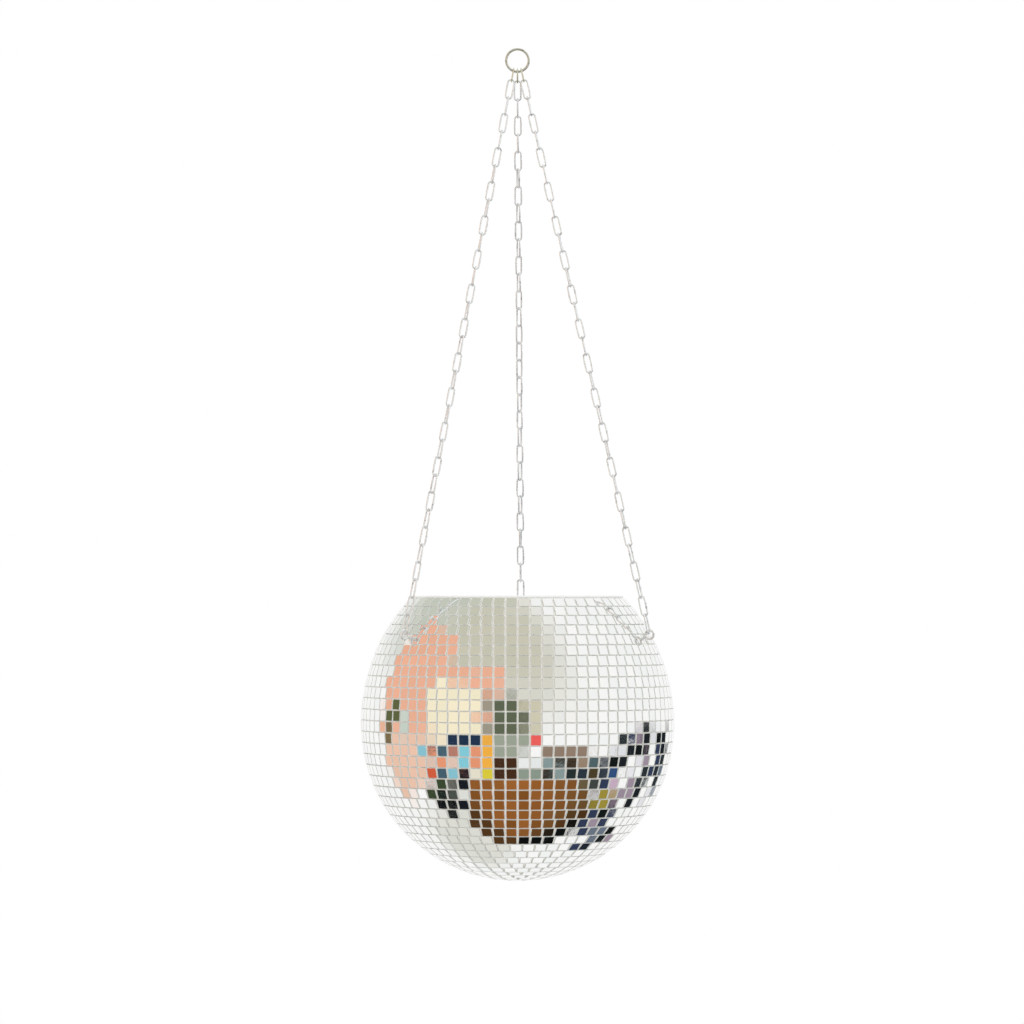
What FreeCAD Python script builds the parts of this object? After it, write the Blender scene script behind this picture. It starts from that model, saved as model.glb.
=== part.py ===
"""Mirror-tiled hanging planter: a truncated mirror ball with an open mouth, hung by three fine chains.

The origin is the hanging point, inside the top of the hanging ring, and everything hangs below it.
The ball is worked out in a frame of its own, centred on its widest circle, which lies ball_drop below.
Azimuths are counted from the front (-Y), positive to the right (+X).
"""
import FreeCAD, Part
import math
import os
import Sketcher

Vector, Rotation, Placement = FreeCAD.Vector, FreeCAD.Rotation, FreeCAD.Placement

doc = FreeCAD.newDocument("MirrorPlanter")

# ---------------------------------------------------------------- driving sizes, millimetres and degrees
# even_rows is a count of rows, and row_stagger a share of the way from one tile to the next
SIZES = {
    # ball, measured over the mirror faces
    "ball_radius": 100.0,
    "upper_arc_radius": 118.0,
    "mouth_height": 81.5,
    "ball_drop": 429.9,
    # mirror tiles and the layers under them
    "tile_side": 6.4,
    "tile_thick": 1.2,
    "tile_gap": 1.05,
    "row_gap": 0.71,
    "even_rows": 24,
    "row_stagger": 0.38,
    "tile_seat": 0.05,
    "coat_thick": 0.35,
    "coat_seat": 0.05,
    "shell_wall": 2.6,
    # lap joint between the two shells
    "lap_height": 5.0,
    "lap_play": 0.1,
    # rim band on the mouth
    "band_thick": 1.2,
    "band_skirt": 6.5,
    "band_wall": 1.2,
    "band_play": 0.3,
    # screw eyes and their fixings
    "eye_height": 54.7,
    "eye_standoff": 5.0,
    "eye_outer": 7.0,
    "eye_wire": 1.5,
    "eye_neck": 1.8,
    "eye_shank": 2.0,
    "eye_flange": 3.8,
    "eye_flange_thick": 0.9,
    "left_eye_turn": -51.0,
    "right_eye_turn": 66.0,
    "back_eye_turn": 178.5,
    "shank_play": 0.1,
    "thread_play": 0.03,
    "washer_outer": 5.6,
    "washer_thick": 0.5,
    "nut_flats": 4.0,
    "nut_thick": 1.6,
    "shank_end": 0.8,
    # hanging ring
    "ring_outer": 16.0,
    "ring_wire": 1.6,
    "ring_spread": 2.6,
    # chains
    "top_link_length": 9.8,
    "top_link_width": 5.0,
    "top_link_wire": 1.0,
    "link_length": 13.7,
    "link_width": 5.2,
    "link_wire": 1.1,
    "ring_play": 0.3,
    "link_play": 0.12,
    "eye_play": 0.6,
    "link_wander": 7.0,
}

sheet = doc.addObject("Spreadsheet::Sheet", "Sizes")
for line, (alias, value) in enumerate(SIZES.items(), start=1):
    sheet.set(f"A{line}", alias)
    sheet.set(f"B{line}", str(value))
    sheet.setAlias(f"B{line}", alias)
doc.recompute()

# ---------------------------------------------------------------- sizes that follow from them
DERIVED = {
    "arc_offset": "Sizes.upper_arc_radius - Sizes.ball_radius",
    "coat_depth": "Sizes.tile_thick + Sizes.tile_seat",
    "shell_depth": "Derived.coat_depth + Sizes.coat_thick + Sizes.coat_seat",
    "inner_depth": "Derived.shell_depth + Sizes.shell_wall",
    "band_under": "Sizes.mouth_height - Sizes.band_thick",
    "lap_radius": "Sizes.ball_radius - Derived.shell_depth - Sizes.shell_wall / 2",
    "eye_radius": "(Sizes.eye_outer - Sizes.eye_wire) / 2",
    "ring_radius": "(Sizes.ring_outer - Sizes.ring_wire) / 2",
    "mouth_radius": "sqrt(Sizes.upper_arc_radius ^ 2 - Sizes.mouth_height ^ 2) - Derived.arc_offset",
    "throat_radius": "sqrt((Sizes.upper_arc_radius - Derived.inner_depth) ^ 2 - Derived.band_under ^ 2)"
                     " - Derived.arc_offset",
    "skirt_radius": "Derived.throat_radius - Sizes.band_play",
    "bore_radius": "Derived.skirt_radius - Sizes.band_wall",
}

derived = doc.addObject("App::VarSet", "Derived")
for alias, formula in DERIVED.items():
    derived.addProperty("App::PropertyFloat", alias)
    derived.setExpression(alias, formula)
    doc.recompute()


def size(name):
    """The value of a driving or a derived size."""
    return float(sheet.get(name)) if name in SIZES else float(getattr(derived, name))


def ref(name):
    """The expression that reads a driving or a derived size."""
    return f"Sizes.{name}" if name in SIZES else f"Derived.{name}"


def bind(target, sizes):
    """Bind an object's properties to expressions: {"Radius": "Sizes.x / 2"}."""
    for prop, formula in sizes.items():
        target.setExpression(prop, formula)


BALL = Placement(Vector(0, 0, -size("ball_drop")), Rotation())


# ---------------------------------------------------------------- the ball's outline
RIM_ANGLE = math.asin(size("mouth_height") / size("upper_arc_radius"))
UPPER_LENGTH = RIM_ANGLE * size("upper_arc_radius")
LOWER_LENGTH = math.pi / 2 * size("ball_radius")


def on_upper_arc(angle):
    """(radius, height, angle of the outward normal) at an angle above the widest circle."""
    arc = size("upper_arc_radius")
    return arc * math.cos(angle) - size("arc_offset"), arc * math.sin(angle), angle


def on_outline(travel):
    """(radius, height, normal's angle) on the mirror faces, at a distance down the outline from the rim."""
    if travel < UPPER_LENGTH:
        return on_upper_arc(RIM_ANGLE - travel / size("upper_arc_radius"))
    angle = (travel - UPPER_LENGTH) / size("ball_radius")
    return size("ball_radius") * math.cos(angle), -size("ball_radius") * math.sin(angle), -angle


def wall_frame(turn, radius, height, slope):
    """Placement in the ball's frame of a point on the wall: Z outward, X along the ring, Y up the wall."""
    out = Vector(math.sin(turn) * math.cos(slope), -math.cos(turn) * math.cos(slope), math.sin(slope))
    along = Vector(math.cos(turn), math.sin(turn), 0)
    base = Vector(radius * math.sin(turn), -radius * math.cos(turn), height)
    return Placement(base, Rotation(along, out.cross(along), out, "ZXY"))


# ---------------------------------------------------------------- small makers
def primitive(kind, name, sizes, placement):
    """A Part primitive whose sizes are bound to the sheet."""
    made = doc.addObject(f"Part::{kind}", name)
    bind(made, sizes)
    made.Placement = placement
    return made


def combine(kind, name, first, *others):
    """Part::Cut or Part::MultiFuse of the given objects."""
    made = doc.addObject(f"Part::{kind}", name)
    if kind == "Cut":
        made.Base, made.Tool = first, others[0]
    else:
        made.Shapes = [first, *others]
    return made


def group(name, members):
    """Separate solids kept together as one sub-part."""
    made = doc.addObject("Part::Compound", name)
    made.Links = members
    return made


def copies(name, shape, placements):
    """A sub-part made of equal separate solids, one at each placement."""
    made = doc.addObject("Part::Feature", name)
    made.Shape = Part.makeCompound([shape.transformed(p.toMatrix()) for p in placements])
    return made


def outline_sketch(body, corners, plane="XZ_Plane"):
    """A closed outline on one of the body's own planes.

    corners holds (x, y, edge) in order: x and y are the formulas that place the corner, and None where an
    arc already settles that coordinate, with the number it comes to. edge leads to the next corner: None
    for a straight line, or (centre x, radius, clockwise) for an arc about a point on the sketch's X axis.
    """
    sketch = body.newObject("Sketcher::SketchObject", body.Name + "_outline")
    planes = [f for f in body.Origin.OriginFeatures if f.Role == plane]
    sketch.AttachmentSupport = [(planes[0], "")]
    sketch.MapMode = "FlatFace"
    points = [Vector(x[1], y[1], 0) for x, y, _ in corners]
    ends = []
    for index, (_, _, edge) in enumerate(corners):
        start, stop = points[index], points[(index + 1) % len(points)]
        if edge is None:
            ends.append((sketch.addGeometry(Part.LineSegment(start, stop), False), 1, 2))
            continue
        (_, centre_x), (_, radius), clockwise = edge
        centre = Vector(centre_x, 0, 0)
        angles = [math.atan2(p.y, p.x - centre_x) for p in (start, stop)]
        circle = Part.Circle(centre, Vector(0, 0, 1), radius)
        arc = Part.ArcOfCircle(circle, angles[1], angles[0]) if clockwise else Part.ArcOfCircle(circle, *angles)
        first, last = (2, 1) if clockwise else (1, 2)
        ends.append((sketch.addGeometry(arc, False), first, last))
    for index, (number, _, last) in enumerate(ends):
        following = ends[(index + 1) % len(ends)]
        sketch.addConstraint(Sketcher.Constraint("Coincident", number, last, following[0], following[1]))
    for (x, y, edge), (number, first, _) in zip(corners, ends):
        for kind, (formula, value) in (("DistanceX", x), ("DistanceY", y)):
            if formula is not None:
                dimension(sketch, (kind, -1, 1, number, first), formula, value)
        if edge is not None:
            (centre_formula, centre_x), (radius_formula, radius), _ = edge
            dimension(sketch, ("DistanceX", -1, 1, number, 3), centre_formula, centre_x)
            dimension(sketch, ("DistanceY", -1, 1, number, 3), "0", 0.0)
            dimension(sketch, ("Radius", number), radius_formula, radius)
    return sketch


def dimension(sketch, target, formula, value):
    """One dimension of a sketch, bound to a formula."""
    index = sketch.addConstraint(Sketcher.Constraint(*target, value))
    if formula != "0":
        sketch.setExpression(f"Constraints[{index}]", formula)


def turned_body(name, corners):
    """A body of revolution about Z, placed in the ball."""
    body = doc.addObject("PartDesign::Body", name)
    sketch = outline_sketch(body, corners)
    turn = body.newObject("PartDesign::Revolution", name + "_turn")
    turn.Profile = (sketch, [""])
    turn.ReferenceAxis = (sketch, ["V_Axis"])
    turn.Angle = 360
    body.Tip = turn
    body.Placement = BALL
    return body


parts = {}


def finish(label, made):
    """Give a sub-part its own label, which names its file."""
    made.Label = label
    parts[label] = made


# ---------------------------------------------------------------- shells and coats, turned about the ball's axis
def arc_x(depth, height):
    """Radius of the upper wall at a height, at a depth under the mirror faces."""
    return math.sqrt((size("upper_arc_radius") - depth) ** 2 - height**2) - size("arc_offset")


def upper_edge(depth, clockwise):
    """The upper wall's arc at a depth under the mirror faces, as outline_sketch takes it."""
    centre = ("-Derived.arc_offset", -size("arc_offset"))
    return centre, (f"Sizes.upper_arc_radius - {ref(depth)}", size("upper_arc_radius") - size(depth)), clockwise


def lower_edge(depth, clockwise):
    """The lower wall's arc, a quarter circle about the ball's centre."""
    radius = (f"Sizes.ball_radius - {ref(depth)}", size("ball_radius") - size(depth))
    return ("0", 0.0), radius, clockwise


def free(value):
    """A coordinate that an arc settles."""
    return None, value


def zero():
    return "0", 0.0


def given(name):
    """A coordinate that is a size of its own."""
    return ref(name), size(name)


def upper_shell():
    top = given("band_under")
    under_lap = ("Sizes.lap_height + Sizes.lap_play", size("lap_height") + size("lap_play"))
    lap = given("lap_radius")
    return turned_body("UpperShell", [
        (free(size("ball_radius") - size("shell_depth")), zero(), upper_edge("shell_depth", False)),
        (free(arc_x(size("shell_depth"), top[1])), top, None),
        (free(arc_x(size("inner_depth"), top[1])), top, upper_edge("inner_depth", True)),
        (free(arc_x(size("inner_depth"), under_lap[1])), under_lap, None),
        (lap, under_lap, None),
        (lap, zero(), None),
    ])


def lower_shell():
    lap = ("Derived.lap_radius - Sizes.lap_play", size("lap_radius") - size("lap_play"))
    inside = ("Sizes.ball_radius - Derived.inner_depth", size("ball_radius") - size("inner_depth"))
    outside = size("ball_radius") - size("shell_depth")
    return turned_body("LowerShell", [
        (zero(), free(-outside), lower_edge("shell_depth", False)),
        (free(outside), zero(), None),
        (lap, zero(), None),
        (lap, given("lap_height"), None),
        (inside, given("lap_height"), None),
        (free(inside[1]), zero(), lower_edge("inner_depth", True)),
        (zero(), free(-inside[1]), None),
    ])


def upper_coat():
    top = given("band_under")
    return turned_body("UpperCoat", [
        (free(size("ball_radius") - size("coat_depth")), zero(), upper_edge("coat_depth", False)),
        (free(arc_x(size("coat_depth"), top[1])), top, None),
        (free(arc_x(coat_inner(), top[1])), top, coat_inner_edge()),
        (free(size("ball_radius") - coat_inner()), zero(), None),
    ])


def coat_inner():
    return size("coat_depth") + size("coat_thick")


def coat_inner_edge():
    formula = "Sizes.upper_arc_radius - Derived.coat_depth - Sizes.coat_thick"
    return ("-Derived.arc_offset", -size("arc_offset")), (formula, size("upper_arc_radius") - coat_inner()), True


def lower_coat():
    inner = ("Sizes.ball_radius - Derived.coat_depth - Sizes.coat_thick", size("ball_radius") - coat_inner())
    outside = size("ball_radius") - size("coat_depth")
    return turned_body("LowerCoat", [
        (zero(), free(-outside), lower_edge("coat_depth", False)),
        (free(outside), zero(), None),
        (free(inner[1]), zero(), (("0", 0.0), inner, True)),
        (zero(), free(-inner[1]), None),
    ])


def rim_band():
    """An L-section ring: a flange on the cut edge of the wall and a short skirt inside the mouth."""
    top, under = given("mouth_height"), given("band_under")
    foot = ("Derived.band_under - Sizes.band_skirt", size("band_under") - size("band_skirt"))
    return turned_body("RimBand", [
        (given("bore_radius"), foot, None),
        (given("skirt_radius"), foot, None),
        (given("skirt_radius"), under, None),
        (given("mouth_radius"), under, None),
        (given("mouth_radius"), top, None),
        (given("bore_radius"), top, None),
    ])


# ---------------------------------------------------------------- screw eyes
EYE_SIDES = ("left", "right", "back")
EYE_ANGLE = math.asin(size("eye_height") / size("upper_arc_radius"))


def eye_frame(side):
    """Placement of an eye's foot on the mirror faces: Z outward, X along the ring of tiles."""
    return BALL * wall_frame(math.radians(size(side + "_eye_turn")), *on_upper_arc(EYE_ANGLE))


def outward(side, distance):
    """The eye's frame moved outward from the mirror faces."""
    return eye_frame(side) * Placement(Vector(0, 0, distance), Rotation())


SHANK_LENGTH = (
    size("inner_depth") - size("coat_depth") + size("washer_thick") + size("nut_thick") + size("shank_end")
    + 2 * size("tile_seat")
)


def screw_eye(side):
    """A wire eye on a neck, with a flange that sits on the coat and a shank through the wall."""
    name = side.capitalize() + "Eye"
    neck_top = size("eye_standoff") - size("eye_radius")
    flange_foot = -size("tile_thick")
    neck = primitive("Cylinder", name + "Neck", {
        "Radius": "Sizes.eye_neck / 2",
        "Height": "Sizes.eye_standoff - Derived.eye_radius + Sizes.tile_thick",
    }, outward(side, flange_foot))
    flange = primitive("Cylinder", name + "Flange", {
        "Radius": "Sizes.eye_flange / 2",
        "Height": "Sizes.eye_flange_thick",
    }, outward(side, flange_foot))
    shank = primitive("Cylinder", name + "Shank", {
        "Radius": "Sizes.eye_shank / 2",
    }, outward(side, flange_foot - SHANK_LENGTH))
    shank.Height = SHANK_LENGTH
    eye = primitive("Torus", name + "Loop", {
        "Radius1": "Derived.eye_radius",
        "Radius2": "Sizes.eye_wire / 2",
    }, outward(side, neck_top + size("eye_radius")) * Placement(Vector(), Rotation(Vector(0, 1, 0), 90)))
    return combine("MultiFuse", name, neck, flange, shank, eye)


def eye_holes(name):
    """Drills for the three shanks, through coat and shell."""
    drills = []
    for side in EYE_SIDES:
        drill = primitive("Cylinder", f"{name}{side.capitalize()}", {
            "Radius": "Sizes.eye_shank / 2 + Sizes.shank_play",
            "Height": "Derived.inner_depth * 3",
        }, outward(side, -2 * size("inner_depth")))
        drills.append(drill)
    return group(name, drills)


def washer(side):
    outer = primitive("Cylinder", side.capitalize() + "WasherBlank", {
        "Radius": "Sizes.washer_outer / 2",
        "Height": "Sizes.washer_thick",
    }, outward(side, -size("inner_depth") - size("tile_seat") - size("washer_thick")))
    hole = primitive("Cylinder", side.capitalize() + "WasherHole", {
        "Radius": "Sizes.eye_shank / 2 + Sizes.shank_play",
        "Height": "Sizes.washer_thick * 3",
    }, outward(side, -size("inner_depth") - 2 * size("washer_thick") - size("tile_seat")))
    return combine("Cut", side.capitalize() + "Washer", outer, hole)


def nut(side):
    depth = size("inner_depth") + 2 * size("tile_seat") + size("washer_thick")
    blank = primitive("Prism", side.capitalize() + "NutBlank", {
        "Circumradius": "Sizes.nut_flats / sqrt(3)",
        "Height": "Sizes.nut_thick",
    }, outward(side, -depth - size("nut_thick")))
    blank.Polygon = 6
    thread = primitive("Cylinder", side.capitalize() + "NutThread", {
        "Radius": "Sizes.eye_shank / 2 + Sizes.thread_play",
        "Height": "Sizes.nut_thick * 3",
    }, outward(side, -depth - 2 * size("nut_thick")))
    return combine("Cut", side.capitalize() + "Nut", blank, thread)


# ---------------------------------------------------------------- hanging ring and chains
RING_CENTRE = Vector(0, 0, size("ring_wire") - size("ring_outer") / 2)


def hanging_ring():
    """A closed wire ring in the XZ plane. Its hook bears inside its top, at the origin."""
    return primitive("Torus", "HangingRing", {
        "Radius1": "Derived.ring_radius",
        "Radius2": "Sizes.ring_wire / 2",
    }, Placement(RING_CENTRE, Rotation(Vector(1, 0, 0), 90)))


def link_body(name, length, width, wire):
    """A long oval link of round wire: its outline lies in XZ, its long axis along Z."""
    body = doc.addObject("PartDesign::Body", name)
    planes = {f.Role: f for f in body.Origin.OriginFeatures if hasattr(f, "Role")}
    half_width = (size(width) - size(wire)) / 2
    half_straight = (size(length) - size(width)) / 2
    route = body.newObject("Sketcher::SketchObject", name + "_route")
    route.AttachmentSupport = [(planes["XZ_Plane"], "")]
    route.MapMode = "FlatFace"
    up, down = Vector(0, half_straight, 0), Vector(0, -half_straight, 0)
    side = Vector(half_width, 0, 0)
    bow = Part.ArcOfCircle(Part.Circle(up, Vector(0, 0, 1), half_width), 0, math.pi)
    foot = Part.ArcOfCircle(Part.Circle(down, Vector(0, 0, 1), half_width), math.pi, 2 * math.pi)
    route.addGeometry(Part.LineSegment(down + side, up + side), False)
    route.addGeometry(bow, False)
    route.addGeometry(Part.LineSegment(up - side, down - side), False)
    route.addGeometry(foot, False)
    for first, first_end, second, second_end in ((0, 2, 1, 1), (1, 2, 2, 1), (2, 2, 3, 1), (3, 2, 0, 1)):
        route.addConstraint(Sketcher.Constraint("Tangent", first, first_end, second, second_end))
    route.addConstraint(Sketcher.Constraint("Vertical", 0))
    route.addConstraint(Sketcher.Constraint("Symmetric", 1, 3, 3, 3, -1, 1))
    dimension(route, ("Radius", 1), f"({ref(width)} - {ref(wire)}) / 2", half_width)
    dimension(route, ("DistanceY", 0, 1, 0, 2), f"{ref(length)} - {ref(width)}", 2 * half_straight)
    section = body.newObject("Sketcher::SketchObject", name + "_section")
    section.AttachmentSupport = [(planes["XY_Plane"], "")]
    section.MapMode = "FlatFace"
    section.addGeometry(Part.Circle(side, Vector(0, 0, 1), size(wire) / 2), False)
    dimension(section, ("DistanceX", -1, 1, 0, 3), f"({ref(width)} - {ref(wire)}) / 2", half_width)
    dimension(section, ("DistanceY", -1, 1, 0, 3), "0", 0.0)
    dimension(section, ("Radius", 0), f"{ref(wire)} / 2", size(wire) / 2)
    pipe = body.newObject("PartDesign::AdditivePipe", name + "_wire")
    pipe.Profile = (section, [""])
    pipe.Spine = (route, [])
    body.Tip = pipe
    return body


def link_at(centre, up, normal):
    """Placement of a link by its centre, its long axis and its plane's normal."""
    flat = (normal - up * normal.dot(up)).normalize()
    return Placement(centre, Rotation(flat.cross(up), flat, up, "ZYX"))


def chain_line(side):
    """(first wire point on the hanging ring, unit vector down the chain, eye's centre)."""
    spread = {"left": -1, "right": 1, "back": 0}[side] * size("ring_spread")
    lift = math.sqrt(size("ring_radius") ** 2 - spread**2)
    start = RING_CENTRE + Vector(spread, 0, -lift)
    eye = outward(side, size("eye_standoff")).Base
    return start, (eye - start).normalize(), eye


def ring_tangent(side):
    """Direction of the ring's wire where a chain's top link hangs on it."""
    start = chain_line(side)[0] - RING_CENTRE
    return Vector(-start.z, 0, start.x).normalize()


def top_link_ends(side):
    """Centre line points of a top link's two bows."""
    start, down, _ = chain_line(side)
    above = (size("ring_wire") + size("top_link_wire")) / 2 + size("ring_play")
    top = start - down * above
    return top, top + down * (size("top_link_length") - size("top_link_wire"))


def top_link(side):
    first, last = top_link_ends(side)
    down = chain_line(side)[1]
    return link_at((first + last) / 2, down * -1, ring_tangent(side))


def chain_links(side):
    """Placements of the long links, which share out what play the whole chain has, all of it at work.

    Every link stands square to the one above, give or take a small wander, and the last lies across the
    eye's wire, with a larger play of its own because the eye wanders a little under it as the ball turns.
    Returns the placements and the play at each of the other hook-ups.
    """
    down, eye = chain_line(side)[1:]
    start = top_link_ends(side)[1]
    stop = eye - down * size("eye_radius")
    span = (stop - start).dot(down)
    wire, reach = size("link_wire"), size("link_length") - size("link_wire")
    ends = (size("top_link_wire") + wire) / 2 + (size("eye_wire") + wire) / 2

    def play(count):
        return (count * reach - (count - 1) * wire - ends - span - size("eye_play")) / count

    count = 1
    while play(count) < size("link_play"):
        count += 1
    slack = play(count)
    first_normal = down.cross(ring_tangent(side)).normalize()
    last_normal = down.cross(eye_frame(side).Rotation.multVec(Vector(1, 0, 0))).normalize()
    across = down.cross(first_normal)
    angle = math.degrees(math.atan2(last_normal.dot(across), last_normal.dot(first_normal)))
    extra = (angle - 90 * (count - 1)) % 180
    step = 90 + (extra if extra < 90 else extra - 180) / (count - 1)
    placements = []
    head = start - down * ((size("top_link_wire") + wire) / 2 + slack)
    for number in range(count):
        free_end = number not in (0, count - 1)
        wander = size("link_wander") * math.sin(2.4 * number) if free_end else 0
        normal = Rotation(down, step * number + wander).multVec(first_normal)
        placements.append(link_at(head + down * (reach / 2), down * -1, normal))
        head = head + down * (reach - wire - slack)
    return placements, slack


# ---------------------------------------------------------------- mirror tiles
def tile_rows():
    """(distance down the outline, tiles round the ball) of every row, and the pitch between rows."""
    start = UPPER_LENGTH - size("upper_arc_radius") * math.asin(size("band_under") / size("upper_arc_radius"))
    length = UPPER_LENGTH + LOWER_LENGTH - start
    rows = math.floor(length / (size("tile_side") + size("row_gap")) - 0.5)
    pitch = length / (rows + 0.5)
    made = []
    for row in range(rows):
        travel = start + (row + 0.5) * pitch
        radius, _, slope = on_outline(travel)
        narrow = radius - size("tile_side") / 2 * abs(math.sin(slope))
        needed = math.atan((size("tile_side") + size("tile_gap")) / 2 / narrow)
        made.append((travel, math.floor(math.pi / needed)))
    return made


def clear_of_eyes(place):
    """Does a tile at this placement leave room for every eye's flange?"""
    reach = size("tile_side") / 2 + size("eye_flange") / 2 + size("tile_seat")
    inverse = place.inverse()
    for side in EYE_SIDES:
        foot = inverse.multVec(eye_frame(side).Base)
        if max(abs(foot.x), abs(foot.y)) < reach and abs(foot.z) < reach:
            return False
    return True


def row_shift(row):
    """How many tiles round from the front a row starts: none in the even rows, then a stagger more each row."""
    return max(0, row - size("even_rows")) * size("row_stagger")


def tile_places(row, travel, count):
    """Placements of one row's tiles. Even rows have the gap between two tiles at the very front."""
    places = []
    for number in range(count):
        turn = 2 * math.pi * (number + 0.5 + row_shift(row)) / count
        place = BALL * wall_frame(turn, *on_outline(travel))
        if clear_of_eyes(place):
            places.append(place)
    return places


def mirror_tile():
    """One square of mirror, its face centred on the origin and its back below."""
    half = "-Sizes.tile_side / 2"
    tile = primitive("Box", "MirrorTile", {
        "Length": "Sizes.tile_side",
        "Width": "Sizes.tile_side",
        "Height": "Sizes.tile_thick",
        "Placement.Base.x": half,
        "Placement.Base.y": half,
        "Placement.Base.z": "-Sizes.tile_thick",
    }, Placement())
    doc.recompute()
    return tile.Shape


# ---------------------------------------------------------------- the assembly
finish("hanging_ring", hanging_ring())

top_pattern = link_body("TopLinkPattern", "top_link_length", "top_link_width", "top_link_wire")
link_pattern = link_body("LinkPattern", "link_length", "link_width", "link_wire")
doc.recompute()
for side in EYE_SIDES:
    finish(side + "_top_link", copies(side.capitalize() + "TopLink", top_pattern.Shape, [top_link(side)]))
    placements, slack = chain_links(side)
    finish(side + "_chain", copies(side.capitalize() + "Chain", link_pattern.Shape, placements))
    finish(side + "_screw_eye", screw_eye(side))
    print(side, "chain:", len(placements), "links, play", round(slack, 3))

finish("eye_washers", group("EyeWashers", [washer(side) for side in EYE_SIDES]))
finish("eye_nuts", group("EyeNuts", [nut(side) for side in EYE_SIDES]))

finish("upper_shell", combine("Cut", "UpperShellDrilled", upper_shell(), eye_holes("ShellDrills")))
finish("lower_shell", lower_shell())
finish("upper_adhesive_coat", combine("Cut", "UpperCoatDrilled", upper_coat(), eye_holes("CoatDrills")))
finish("lower_adhesive_coat", lower_coat())
finish("rim_band", rim_band())

tile_shape = mirror_tile()
rows = tile_rows()
for row, (travel, count) in enumerate(rows, start=1):
    finish(f"mirror_row_{row:02d}", copies(f"MirrorRow{row:02d}", tile_shape, tile_places(row, travel, count)))
last_row, last_count = len(rows), rows[-1][1]
bottom_turn = -360 * (0.5 + row_shift(last_row)) / last_count
bottom = BALL * Placement(Vector(0, 0, -size("ball_radius")), Rotation(Vector(1, 0, 0), 180))
bottom = bottom * Placement(Vector(), Rotation(Vector(0, 0, 1), bottom_turn))
finish("mirror_bottom_tile", copies("MirrorBottomTile", tile_shape, [bottom]))

doc.recompute()

# ---------------------------------------------------------------- test and write
for item in doc.Objects:
    if {"Invalid", "Error"} & set(item.State):
        raise RuntimeError(f"{item.Name} failed: {item.State}")
for label, made in parts.items():
    if made.Shape.isNull() or not made.Shape.isValid():
        raise RuntimeError(f"{label} has no valid shape")

os.makedirs("parts", exist_ok=True)
for label, made in parts.items():
    made.Shape.exportStep(f"parts/{label}.step")
print(len(parts), "sub-parts,", sum(len(made.Shape.Solids) for made in parts.values()), "solids")
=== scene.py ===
"""Looks of the mirror-tiled hanging planter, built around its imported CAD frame."""
import math
import random

import bpy
import bmesh
from mathutils import Matrix, Vector


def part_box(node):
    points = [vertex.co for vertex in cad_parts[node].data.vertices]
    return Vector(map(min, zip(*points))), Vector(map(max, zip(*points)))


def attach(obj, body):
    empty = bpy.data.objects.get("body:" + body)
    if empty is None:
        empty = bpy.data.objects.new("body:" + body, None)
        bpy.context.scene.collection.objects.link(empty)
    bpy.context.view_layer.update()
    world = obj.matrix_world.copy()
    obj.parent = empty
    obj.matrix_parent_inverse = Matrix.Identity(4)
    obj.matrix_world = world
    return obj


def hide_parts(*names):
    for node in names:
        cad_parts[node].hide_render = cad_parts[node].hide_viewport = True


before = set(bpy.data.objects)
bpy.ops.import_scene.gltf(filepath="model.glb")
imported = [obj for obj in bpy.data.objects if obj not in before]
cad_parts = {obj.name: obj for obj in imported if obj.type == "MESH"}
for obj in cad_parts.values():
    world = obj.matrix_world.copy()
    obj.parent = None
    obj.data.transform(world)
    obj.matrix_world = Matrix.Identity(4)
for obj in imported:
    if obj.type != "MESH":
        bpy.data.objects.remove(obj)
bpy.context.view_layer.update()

MM = 0.001
bpy.ops.object.select_all(action="DESELECT")

# ---------------------------------------------------------------- places taken from the frame
BALL_CENTRE = Vector((0, 0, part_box("lower_adhesive_coat")[1].z))
BALL_RADIUS = BALL_CENTRE.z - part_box("mirror_bottom_tile")[0].z
MOUTH_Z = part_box("rim_band")[1].z


# ---------------------------------------------------------------- camera
# all in ball radii
VIEW_WIDTH = 6.533
CAMERA_AWAY = 30
CAMERA_ASIDE = -0.035
AIM_ABOVE_CENTRE = 1.349


def place_camera():
    """A long lens level with the mouth, with the whole hanging height in view."""
    width = VIEW_WIDTH * BALL_RADIUS
    distance = CAMERA_AWAY * BALL_RADIUS
    aside = CAMERA_ASIDE * BALL_RADIUS
    data = bpy.data.cameras.new("camera")
    data.lens = data.sensor_width * distance / width
    data.clip_end = 50
    camera = bpy.data.objects.new("camera", data)
    bpy.context.collection.objects.link(camera)
    camera.location = (aside, -distance, MOUTH_Z)
    aim = Vector((aside, 0, BALL_CENTRE.z + AIM_ABOVE_CENTRE * BALL_RADIUS))
    camera.rotation_euler = (aim - camera.location).to_track_quat("-Z", "Y").to_euler()
    bpy.context.scene.camera = camera


place_camera()


# ---------------------------------------------------------------- shader building
class Value:
    """A shader socket that can be written in sums: Value + 1, 1 - Value and so on."""

    def __init__(self, shader, socket):
        self.shader, self.socket = shader, socket

    def _math(self, operation, *others):
        return self.shader.node("ShaderNodeMath", {"operation": operation}, *others)

    def __add__(self, other):
        return self._math("ADD", self, other)

    def __radd__(self, other):
        return self._math("ADD", other, self)

    def __sub__(self, other):
        return self._math("SUBTRACT", self, other)

    def __rsub__(self, other):
        return self._math("SUBTRACT", other, self)

    def __mul__(self, other):
        return self._math("MULTIPLY", self, other)

    def __truediv__(self, other):
        return self._math("DIVIDE", self, other)

    def __lt__(self, other):
        return self._math("LESS_THAN", self, other)

    def clamp(self):
        return self._math("MINIMUM", self._math("MAXIMUM", self, 0.0), 1.0)

    def between(self, low, high):
        """0 at low, 1 at high, smooth and clamped."""
        settings = {"interpolation_type": "SMOOTHSTEP"}
        return self.shader.node("ShaderNodeMapRange", settings, self, low, high, 0.0, 1.0)


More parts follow.
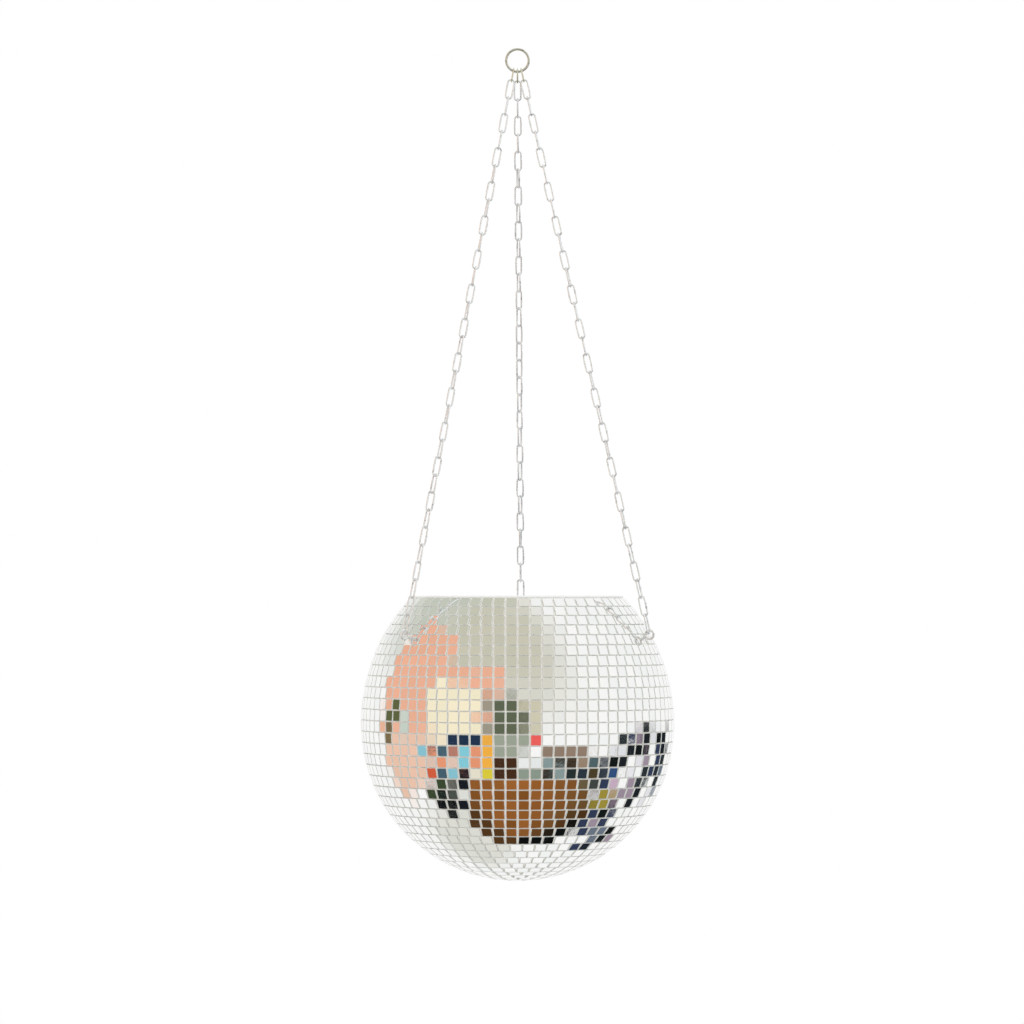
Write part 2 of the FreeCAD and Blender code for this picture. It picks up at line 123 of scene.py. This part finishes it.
class Shader:
    """A node tree, with one method for any node."""

    def __init__(self, tree):
        self.tree = tree
        tree.nodes.clear()

    def node(self, kind, settings=None, *inputs, out=0, **named):
        made = self.tree.nodes.new(kind)
        for name, value in (settings or {}).items():
            setattr(made, name, value)
        for index, value in enumerate(inputs):
            self.join(made.inputs[index], value)
        for name, value in named.items():
            self.join(made.inputs[name.replace("_", " ")], value)
        return Value(self, made.outputs[out]) if made.outputs else None

    def join(self, socket, value):
        if isinstance(value, Value):
            self.tree.links.new(value.socket, socket)
        elif value is not None:
            socket.default_value = value

    def mix(self, factor, first, second):
        """Two colours mixed."""
        made = self.tree.nodes.new("ShaderNodeMix")
        made.data_type = "RGBA"
        for index, value in ((0, factor), (6, first), (7, second)):
            self.join(made.inputs[index], value)
        return Value(self, made.outputs[2])

    def noise(self, place, scale, detail=2.0):
        return self.node("ShaderNodeTexNoise", None, Vector=place, Scale=scale, Detail=detail)

    def place(self):
        """The surface's own place, in metres."""
        return self.node("ShaderNodeTexCoord", None, out="Object")

    def attribute(self, name):
        return self.node("ShaderNodeAttribute", {"attribute_name": name}, out="Fac")

    def surface(self, bump=None, depth=0.0001, **finish):
        """A Principled surface, with a bump height in units of depth where one is given."""
        normal = None
        if bump is not None:
            normal = self.node("ShaderNodeBump", None, Height=bump, Distance=depth, Strength=1.0)
        shader = self.node("ShaderNodeBsdfPrincipled", None, Normal=normal, **finish)
        self.node("ShaderNodeOutputMaterial", None, shader)


def rgb(red, green, blue):
    return red, green, blue, 1.0


def material(name):
    made = bpy.data.materials.new(name)
    made.use_nodes = True
    return made, Shader(made.node_tree)


# ---------------------------------------------------------------- finishes
def mirror_face():
    """Silvered glass: each square its own shade, with faint clouding and a few age specks."""
    made, s = material("silvered_mirror")
    tone, place = s.attribute("tone"), s.place()
    cloud = s.noise(place, 260.0, 3.0)
    speck = s.noise(place, 1900.0, 1.0).between(0.72, 0.78)
    tint = s.mix(tone, rgb(0.90, 0.915, 0.905), rgb(0.965, 0.96, 0.95))
    tint = s.mix(speck * 0.35, tint, rgb(0.45, 0.44, 0.42))
    s.surface(
        bump=cloud,
        depth=0.000006,
        Base_Color=tint,
        Metallic=1.0,
        Roughness=0.015 + cloud * 0.035 + speck * 0.2,
    )
    return made


def glass_edge():
    """The cut edge of the glass squares, pale green, glossy and half silvered by the backing."""
    made, s = material("cut_glass_edge")
    grain = s.noise(s.place(), 2600.0, 2.0)
    colour = s.mix(grain, rgb(0.86, 0.90, 0.88), rgb(0.97, 0.98, 0.97))
    s.surface(
        bump=grain,
        depth=0.000008,
        Base_Color=colour,
        Metallic=0.4,
        Roughness=0.14 + grain * 0.16,
    )
    return made


def pearl_adhesive():
    """The adhesive sheet in the gaps: pale, a little pearly and uneven."""
    made, s = material("pearl_adhesive")
    place = s.place()
    lumps, fine = s.noise(place, 220.0, 3.0), s.noise(place, 1500.0, 2.0)
    colour = s.mix(lumps, rgb(0.96, 0.93, 0.87), rgb(0.99, 0.98, 0.95))
    s.surface(
        bump=lumps + fine * 0.4,
        depth=0.00004,
        Base_Color=colour,
        Metallic=0.1,
        Roughness=0.3 + fine * 0.2,
    )
    return made


def white_plastic(name, low, high, rough):
    """Satin moulded plastic with the faint orange peel of its tool."""
    made, s = material(name)
    place = s.place()
    peel, wash = s.noise(place, 900.0, 2.0), s.noise(place, 35.0, 3.0)
    colour = s.mix(wash, rgb(*low), rgb(*high))
    s.surface(bump=peel, depth=0.00003, Base_Color=colour, Roughness=rough + peel * 0.12)
    return made


def plated_wire(name, bright, worn, wear, sheen=0.75):
    """Plated wire with fine scratches and worn patches; sheen is how much of it is bare metal."""
    made, s = material(name)
    place = s.place()
    patches = s.noise(place, 420.0, 3.0).between(0.62 - wear, 0.72)
    scratch = s.noise(place, 3200.0, 2.0)
    colour = s.mix(patches, rgb(*bright), rgb(*worn))
    s.surface(
        bump=scratch,
        depth=0.00001,
        Base_Color=colour,
        Metallic=sheen,
        Roughness=0.24 + scratch * 0.12 + patches * 0.16,
    )
    return made


MIRROR = mirror_face()
EDGE = glass_edge()
ADHESIVE = pearl_adhesive()
SHELL = white_plastic("shell_plastic", (0.82, 0.82, 0.79), (0.90, 0.90, 0.88), 0.42)
RIM = white_plastic("rim_plastic", (0.90, 0.90, 0.89), (0.95, 0.95, 0.94), 0.28)
NICKEL = plated_wire("nickel_wire", (0.88, 0.91, 0.93), (0.52, 0.54, 0.55), 0.06, 0.7)
RING = plated_wire("ring_wire", (0.66, 0.68, 0.62), (0.40, 0.40, 0.34), 0.10, 0.85)
BRASSY = plated_wire("worn_brassy_wire", (0.74, 0.76, 0.64), (0.48, 0.45, 0.30), 0.10, 0.8)
ZINC = plated_wire("zinc_fixing", (0.72, 0.74, 0.76), (0.55, 0.56, 0.56), 0.05)


# ---------------------------------------------------------------- modelling helpers
def new_piece(name, *materials):
    """The object just added, named and given its materials."""
    made = bpy.context.object
    made.name = made.data.name = name
    for finish in materials:
        made.data.materials.append(finish)
    return made


def settle(piece):
    """Put a finished piece's place in its mesh and leave its object at the origin."""
    bpy.ops.object.select_all(action="DESELECT")
    piece.select_set(True)
    bpy.context.view_layer.objects.active = piece
    bpy.ops.object.transform_apply(location=True, rotation=True, scale=True)
    piece.select_set(False)


def solids_of(node):
    """The separate solids of a CAD node, each as the list of its corners."""
    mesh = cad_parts[node].data
    work = bmesh.new()
    work.from_mesh(mesh)
    bmesh.ops.remove_doubles(work, verts=work.verts, dist=0.002 * MM)
    seen, solids = set(), []
    for start in work.verts:
        if start in seen:
            continue
        seen.add(start)
        reached, index = [start], 0
        while index < len(reached):
            for edge in reached[index].link_edges:
                other = edge.other_vert(reached[index])
                if other not in seen:
                    seen.add(other)
                    reached.append(other)
            index += 1
        solids.append([v.co.copy() for v in reached])
    work.free()
    return solids


def mean(points):
    return sum(points, Vector()) / len(points)


def frame_matrix(origin, along, out):
    """A matrix with X along, Z out and its origin at a place."""
    along = (along - out * along.dot(out)).normalized()
    up = out.cross(along)
    turned = Matrix((along, up, out)).transposed()
    return Matrix.Translation(origin) @ turned.to_4x4()


def copies_of(pattern, name, places, tones=None):
    """One piece made of copies of a pattern, each copy with its own mesh."""
    made = []
    for index, place in enumerate(places):
        mesh = pattern.data.copy()
        mesh.transform(place)
        if tones:
            values = mesh.attributes.new("tone", "FLOAT", "POINT")
            values.data.foreach_set("value", [tones[index]] * len(mesh.vertices))
        copy = bpy.data.objects.new(name, mesh)
        bpy.context.collection.objects.link(copy)
        made.append(copy)
    bpy.ops.object.select_all(action="DESELECT")
    for copy in made:
        copy.select_set(True)
    bpy.context.view_layer.objects.active = made[0]
    if len(made) > 1:
        bpy.ops.object.join()
    piece = bpy.context.object
    piece.name = piece.data.name = name
    piece.select_set(False)
    return piece


# ---------------------------------------------------------------- mirror tiles
SAMPLE_ROW = "mirror_row_12"
SUNK = 0.1 * MM  # of the face below the CAD square's, so that no corner of a slanting square stands out
CUT_SMALLER = 0.04 * MM  # than the CAD square
BEVEL = 0.07 * MM
# spread and limit, in degrees, of each square's turn in its own plane and of its tip about its sides
TURNED = (0.7, 1.2)
TIPPED = (0.45, 0.8)
SEED = 20


def tile_places(node):
    """Where each tile of a CAD row lies: the centre of its face, X along an edge, Z outward."""
    places = []
    for corners in solids_of(node):
        centre = mean(corners)
        outward = sorted(corners, key=lambda p: -(p - BALL_CENTRE).length)
        outer, inner = outward[:4], outward[4:]
        out = (mean(outer) - mean(inner)).normalized()
        first = outer[0]
        beside = sorted(outer[1:], key=lambda p: (p - first).length)[:2]
        edges = [(p - first).normalized() for p in beside]
        along = min(edges, key=lambda e: abs(e.z))
        level = Vector((-out.y, out.x, 0))
        if along.dot(level) < 0:
            along = -along
        places.append((frame_matrix(mean(outer), along, out), centre))
    return places


def tile_pattern(side, thick):
    """One square of mirror glass: a flat face with a narrow bevel, and cut edges."""
    bpy.ops.mesh.primitive_cube_add(size=1, location=(0, 0, -thick / 2))
    tile = new_piece("mirror_tile_pattern", MIRROR, EDGE)
    tile.scale = (side, side, thick)
    settle(tile)
    bpy.context.view_layer.objects.active = tile
    tile.select_set(True)
    bpy.ops.object.mode_set(mode="EDIT")
    bpy.ops.mesh.select_mode(type="EDGE")
    bpy.ops.mesh.select_all(action="DESELECT")
    bpy.ops.object.mode_set(mode="OBJECT")
    for edge in tile.data.edges:
        ends = [tile.data.vertices[v].co.z for v in edge.vertices]
        edge.select = min(ends) > -thick / 4
    bpy.ops.object.mode_set(mode="EDIT")
    bpy.ops.mesh.bevel(offset=BEVEL, segments=1)
    bpy.ops.object.mode_set(mode="OBJECT")
    for face in tile.data.polygons:
        face.material_index = 0 if face.normal.z > 0.99 else 1
    tile.select_set(False)
    return tile


def tile_rows():
    """Every row of mirror squares, set by hand: each a touch askew, with its own shade."""
    chance = random.Random(SEED)
    face, centre = tile_places(SAMPLE_ROW)[0]
    thick = 2 * (face.translation - centre).length
    corner, *others = solids_of(SAMPLE_ROW)[0]
    reaches = [(corner - other).length for other in others]
    side = min(reach for reach in reaches if reach > 1.5 * thick)
    pattern = tile_pattern(side - CUT_SMALLER, thick - SUNK)

    def askew(spread, limit, axis):
        angle = max(-limit, min(limit, chance.gauss(0, spread)))
        return Matrix.Rotation(math.radians(angle), 4, axis)

    for row in sorted(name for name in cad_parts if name.startswith("mirror_")):
        places, tones = [], []
        for place, _ in tile_places(row):
            slant = askew(*TURNED, "Z") @ askew(*TIPPED, "X") @ askew(*TIPPED, "Y")
            places.append(place @ Matrix.Translation((0, 0, -SUNK)) @ slant)
            tones.append(chance.random())
        piece = copies_of(pattern, row + "_glass", places, tones)
        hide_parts(row)
        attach(piece, "ball")
    bpy.data.objects.remove(pattern)


# ---------------------------------------------------------------- chains
WELD_BULGE = 1.13  # in wire sizes
ON_CUT = 1e-7  # metres from the cut across the ring that still count as on it


def link_places(node):
    """Where each link of a CAD chain lies: X across it, Y square to it, Z along it, with its size."""
    places = []
    for points in solids_of(node):
        centre = mean(points)
        far = max(points, key=lambda p: (p - centre).length)
        long = (far - centre).normalized()
        tips = [p for p in points if abs((p - centre).dot(long)) > 0.9 * (far - centre).length]
        upper = mean([p for p in tips if (p - centre).dot(long) > 0])
        lower = mean([p for p in tips if (p - centre).dot(long) < 0])
        long = (upper - lower).normalized()
        if long.z < 0:
            long = -long
        flat = [(p - centre) - long * (p - centre).dot(long) for p in points]
        across = max(flat, key=lambda p: p.length).normalized()
        length = max(2 * abs((p - centre).dot(long)) for p in points)
        width = 2 * max(p.dot(across) for p in flat)
        wire = 2 * max(abs(p.dot(long.cross(across))) for p in flat)
        turned = Matrix((across, long.cross(across), long)).transposed()
        places.append((Matrix.Translation(centre) @ turned.to_4x4(), length, width, wire))
    return places


def link_pattern(length, width, wire, finish):
    """An oval link bent from round wire, with the small bulge of its butt weld on one long side."""
    reach = (width - wire) / 2
    bpy.ops.mesh.primitive_torus_add(
        major_radius=reach,
        minor_radius=wire / 2,
        major_segments=20,
        minor_segments=10,
        rotation=(math.pi / 2, 0, 0),
    )
    link = new_piece("link_pattern", finish)
    settle(link)
    half = (length - width) / 2
    bpy.context.view_layer.objects.active = link
    link.select_set(True)
    bpy.ops.object.mode_set(mode="EDIT")
    bpy.ops.mesh.select_all(action="SELECT")
    bpy.ops.mesh.bisect(plane_co=(0, 0, 0), plane_no=(0, 0, 1))
    bpy.ops.object.mode_set(mode="OBJECT")
    weld = Vector((reach, 0, 0))
    for vertex in link.data.vertices:
        if abs(vertex.co.z) > ON_CUT:
            vertex.co.z += math.copysign(half, vertex.co.z)
        elif vertex.co.x > 0:
            vertex.co = weld + (vertex.co - weld) * WELD_BULGE
    bpy.ops.object.shade_smooth()
    link.select_set(False)
    return link


def chains():
    for side in ("left", "right", "back"):
        for node, body, finish, slot in (
            (side + "_top_link", "top_links", BRASSY, "top_link_wire"),
            (side + "_chain", side + "_chain", NICKEL, "chain_wire"),
        ):
            found = link_places(node)
            _, length, width, wire = found[0]
            pattern = link_pattern(length, width, wire, finish)
            piece = copies_of(pattern, node + "_wire", [place for place, *_ in found])
            bpy.data.objects.remove(pattern)
            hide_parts(node)
            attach(piece, body)


# ---------------------------------------------------------------- CAD nodes that keep their shape
def dress(node, finish):
    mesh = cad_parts[node].data
    mesh.materials.clear()
    mesh.materials.append(finish)


tile_rows()
chains()
for node, finish in (
    ("upper_adhesive_coat", ADHESIVE),
    ("lower_adhesive_coat", ADHESIVE),
    ("upper_shell", SHELL),
    ("lower_shell", SHELL),
    ("rim_band", RIM),
    ("hanging_ring", RING),
    ("left_screw_eye", NICKEL),
    ("right_screw_eye", NICKEL),
    ("back_screw_eye", NICKEL),
    ("eye_washers", ZINC),
    ("eye_nuts", ZINC),
):
    dress(node, finish)


# ---------------------------------------------------------------- floor
FLOOR_BELOW = 3.2  # ball radii under the ball's centre
FLOOR_RADIUS = 1.3
FADE_FROM, FADE_TO = 0.55, 1.25


def pale_floor():
    """A round pale floor that fades out at its edge, and that the mirrors don't see."""
    middle = (0, 0, BALL_CENTRE.z - FLOOR_BELOW * BALL_RADIUS)
    bpy.ops.mesh.primitive_circle_add(vertices=96, radius=FLOOR_RADIUS, fill_type="NGON", location=middle)
    made, s = material("pale_floor")
    away = s.node("ShaderNodeVectorMath", {"operation": "LENGTH"}, s.place(), out="Value")
    fade = 1 - away.between(FADE_FROM, FADE_TO)
    s.surface(Base_Color=rgb(0.97, 0.97, 0.97), Roughness=0.8, Alpha=fade)
    floor = new_piece("floor", made)
    floor.visible_glossy = False


# ---------------------------------------------------------------- light, and the room in the mirrors
# The light is plain, soft and white. Round it stands a room that only reflections see: its name, its
# middle and half size (azimuth, elevation, half width, half height), the softness of its edge and its
# colour. Azimuth 0 is towards the viewer, positive to the right, and all angles are in degrees.
ROOM = (
    ("grey floor", -70, -78, 100, 32, 8, (0.88, 0.88, 0.85)),
    ("ceiling haze", -90, 62, 70, 40, 18, (0.78, 0.80, 0.75)),
    ("grey wall", -24, 50, 62, 36, 26, (0.80, 0.79, 0.72)),
    ("salmon curtain", -66, 8, 52, 25, 1, (0.95, 0.71, 0.60)),
    ("salmon curtain, top", -86, 38, 26, 8, 1, (0.94, 0.71, 0.60)),
    ("lit part of the curtain", -50, 6, 20, 17, 1, (0.98, 0.94, 0.82)),
    ("foot of the curtain", -92, -18, 26, 15, 3, (0.94, 0.78, 0.69)),
    ("pale foot of the curtain", -56, -24, 18, 14, 4, (0.94, 0.87, 0.78)),
    ("door frame", -19, -2, 4, 20, 1, (0.62, 0.60, 0.54)),
    ("cabinet beside the stand", 12, 6, 9, 12, 1, (0.82, 0.80, 0.71)),
    ("dark stand", -5, 6, 9, 12, 1, (0.38, 0.41, 0.33)),
    ("foot of the stand", -5, -14, 10, 9, 1, (0.62, 0.65, 0.59)),
)

SHELF = (
    ("navy jars", -41, -10, 12, 4, 0.5, (0.14, 0.21, 0.31)),
    ("cyan bowls", -41, -26, 4, 12, 0.5, (0.52, 0.80, 0.86)),
    ("orange lamp", -24, -18, 4, 12, 0.5, (0.96, 0.70, 0.28)),
    ("yellow foot of the lamp", -24, -35, 4, 4, 0.5, (0.86, 0.80, 0.24)),
    ("red box", 11, -10, 4, 4, 0.5, (0.94, 0.38, 0.36)),
    ("taupe bowls", 38, -18, 22, 4, 0.5, (0.58, 0.50, 0.44)),
    ("pale cloth", 12, -27, 8, 4, 0.5, (0.93, 0.94, 0.94)),
    ("dark books", -6, -31, 10, 8, 0.5, (0.28, 0.18, 0.12)),
    ("sage cloth", 12, -35, 8, 4, 0.5, (0.56, 0.61, 0.56)),
    ("blue cushion", 84, -30, 9, 4, 0.5, (0.20, 0.32, 0.50)),
    ("mauve cushion", 96, -35, 10, 4, 0.5, (0.78, 0.68, 0.76)),
    ("olive cushion", 92, -42, 8, 5, 0.5, (0.62, 0.56, 0.24)),
)

# Small things of many colours: name, middle and half size, the share of cells filled, seed and colours.
CLUTTER = (
    ("bright things under the curtain", -56, -26, 26, 13, 0.6, 3.0, (
        (0.85, 0.38, 0.26), (0.28, 0.38, 0.44), (0.93, 0.90, 0.82), (0.20, 0.26, 0.22), (0.92, 0.60, 0.46),
        (0.90, 0.78, 0.72), (0.55, 0.78, 0.84), (0.36, 0.35, 0.31), (0.80, 0.79, 0.74), (0.72, 0.50, 0.44),
    )),
    ("dark things at the left end of the table", -66, -44.5, 24, 11, 0.8, 5.0, (
        (0.07, 0.08, 0.09), (0.13, 0.17, 0.15), (0.30, 0.32, 0.30), (0.10, 0.11, 0.14), (0.24, 0.29, 0.20),
        (0.90, 0.90, 0.88), (0.06, 0.07, 0.08), (0.45, 0.45, 0.42),
    )),
    ("things along the far edge of the table", 47, -31, 28, 8, 1.0, 11.0, (
        (0.26, 0.28, 0.27), (0.55, 0.44, 0.35), (0.16, 0.20, 0.20), (0.42, 0.36, 0.26), (0.32, 0.40, 0.42),
        (0.60, 0.52, 0.44), (0.22, 0.18, 0.13), (0.55, 0.62, 0.62), (0.30, 0.26, 0.17), (0.18, 0.22, 0.26),
    )),
    ("dark seats on the right", 112, -30, 36, 28, 0.72, 7.0, (
        (0.12, 0.14, 0.16), (0.28, 0.30, 0.32), (0.20, 0.24, 0.34), (0.62, 0.56, 0.62), (0.08, 0.10, 0.10),
        (0.42, 0.46, 0.52), (0.17, 0.20, 0.22), (0.90, 0.90, 0.92),
    )),
    ("leaves beside the curtain", -102, 0, 13, 8, 0.5, 5.0, (
        (0.12, 0.14, 0.11), (0.38, 0.40, 0.26), (0.48, 0.42, 0.30), (0.80, 0.84, 0.80),
    )),
)
CELL_WIDTH, CELL_HEIGHT = 8.5, 8.2  # of a small thing, about what one tile shows

BLANK = (0.97, 0.97, 0.97)
WOOD = (0.63, 0.39, 0.19)
WOOD_ON_THE_RIGHT = (0.42, 0.31, 0.18)
WOOD_GRAIN = (0.50, 0.31, 0.14)
WOOD_ON_THE_LEFT = (0.33, 0.22, 0.12)
TABLE_END = (0.06, 0.07, 0.07)
# the round top, in units of its depth below the mirrors: its middle and the square of its radius
TOP_ASIDE, TOP_AHEAD, TOP_RADIUS_SQUARED = -0.25, 0.75, 0.9
TOP_BELOW = -39.0


def shown(red, green, blue):
    """A colour given as it should look on a screen."""
    return tuple(v / 12.92 if v < 0.04 else ((v + 0.055) / 1.055) ** 2.4 for v in (red, green, blue)) + (1.0,)


class Room:
    """What the mirrors see, laid on the sky one thing over another."""

    def __init__(self, shader, colour):
        self.s = s = shader
        self.look = s.node("ShaderNodeTexCoord", None, out="Generated")
        split = s.node("ShaderNodeSeparateXYZ", None, self.look)
        self.x, self.y, self.z = (Value(s, split.socket.node.outputs[axis]) for axis in range(3))
        turn = s.node("ShaderNodeMath", {"operation": "ARCTAN2"}, self.x, self.y * -1.0)
        rise = s.node("ShaderNodeMath", {"operation": "ARCSINE"}, self.z)
        self.azimuth, self.elevation = turn * math.degrees(1), rise * math.degrees(1)
        self.seen = colour

    def within(self, middle, half, soft, angle):
        apart = self.s.node("ShaderNodeMath", {"operation": "ABSOLUTE"}, angle - middle)
        return 1 - apart.between(half - soft, half + soft)

    def panel(self, turn, rise, half_width, half_height, soft):
        across = self.within(turn, half_width, soft, self.azimuth)
        return across * self.within(rise, half_height, soft, self.elevation)

    def place_all(self, things):
        for _, turn, rise, half_width, half_height, soft, colour in things:
            where = self.panel(turn, rise, half_width, half_height, soft)
            self.seen = self.s.mix(where, self.seen, shown(*colour))

    def strew(self, turn, rise, half_width, half_height, share, seed, colours):
        """Small things on a grid of cells, a share of which are filled."""
        s = self.s
        column, row = self.azimuth / CELL_WIDTH + seed, self.elevation / CELL_HEIGHT + seed
        cell = s.node("ShaderNodeCombineXYZ", None, column, row, 0.0)
        cell = s.node("ShaderNodeVectorMath", {"operation": "FLOOR"}, cell)
        pick = s.node("ShaderNodeTexWhiteNoise", {"noise_dimensions": "2D"}, Vector=cell)
        held = s.node("ShaderNodeTexWhiteNoise", {"noise_dimensions": "2D"}, Vector=cell, out="Color")
        held = s.node("ShaderNodeSeparateXYZ", None, held, out="Z")
        ramp = s.tree.nodes.new("ShaderNodeValToRGB")
        ramp.color_ramp.interpolation = "CONSTANT"
        while len(ramp.color_ramp.elements) < len(colours):
            ramp.color_ramp.elements.new(1.0)
        for index, (stop, colour) in enumerate(zip(ramp.color_ramp.elements, colours)):
            stop.position, stop.color = index / len(colours), shown(*colour)
        s.join(ramp.inputs[0], pick)
        where = self.panel(turn, rise, half_width, half_height, 0.5) * (held < share)
        self.seen = s.mix(where, self.seen, Value(s, ramp.outputs[0]))

    def table(self):
        """A round wooden table below the mirrors, with its leaf towards the viewer."""
        s, azimuth = self.s, self.azimuth
        grain = s.noise(self.look, 9.0, 4.0)
        wood = s.mix(azimuth.between(10.0, 75.0), shown(*WOOD), shown(*WOOD_ON_THE_RIGHT))
        wood = s.mix(grain.between(0.35, 0.7), wood, shown(*WOOD_GRAIN))
        wood = s.mix(azimuth.between(-62.0, -36.0), shown(*WOOD_ON_THE_LEFT), wood)
        end = azimuth.between(62.0, 92.0) * (1 - self.elevation.between(-58.0, -50.0))
        wood = s.mix(end, wood, shown(*TABLE_END))
        aside, ahead = self.x / self.z - TOP_ASIDE, self.y / self.z - TOP_AHEAD
        top = (aside * aside + ahead * ahead < TOP_RADIUS_SQUARED) * (self.elevation < TOP_BELOW)
        leaf = self.within(16.0, 62.0, 1.0, azimuth) * self.within(-47.0, 8.0, 1.0, self.elevation)
        self.seen = s.mix((top + leaf).clamp(), self.seen, wood)


def studio_world():
    """Plain soft white light, and the room that only reflections see."""
    world = bpy.data.worlds.new("studio")
    bpy.context.scene.world = world
    world.use_nodes = True
    s = Shader(world.node_tree)
    room = Room(s, rgb(*BLANK))
    room.place_all(ROOM)
    for _, *thing in CLUTTER:
        room.strew(*thing)
    room.place_all(SHELF)
    room.table()
    glossy = s.node("ShaderNodeLightPath", None, out="Is Glossy Ray")
    colour = s.mix(glossy, rgb(1, 1, 1), room.seen)
    background = s.node("ShaderNodeBackground", None, Color=colour, Strength=1.0)
    s.node("ShaderNodeOutputWorld", None, background)


pale_floor()
studio_world()
bpy.context.scene.view_settings.view_transform = "Standard"
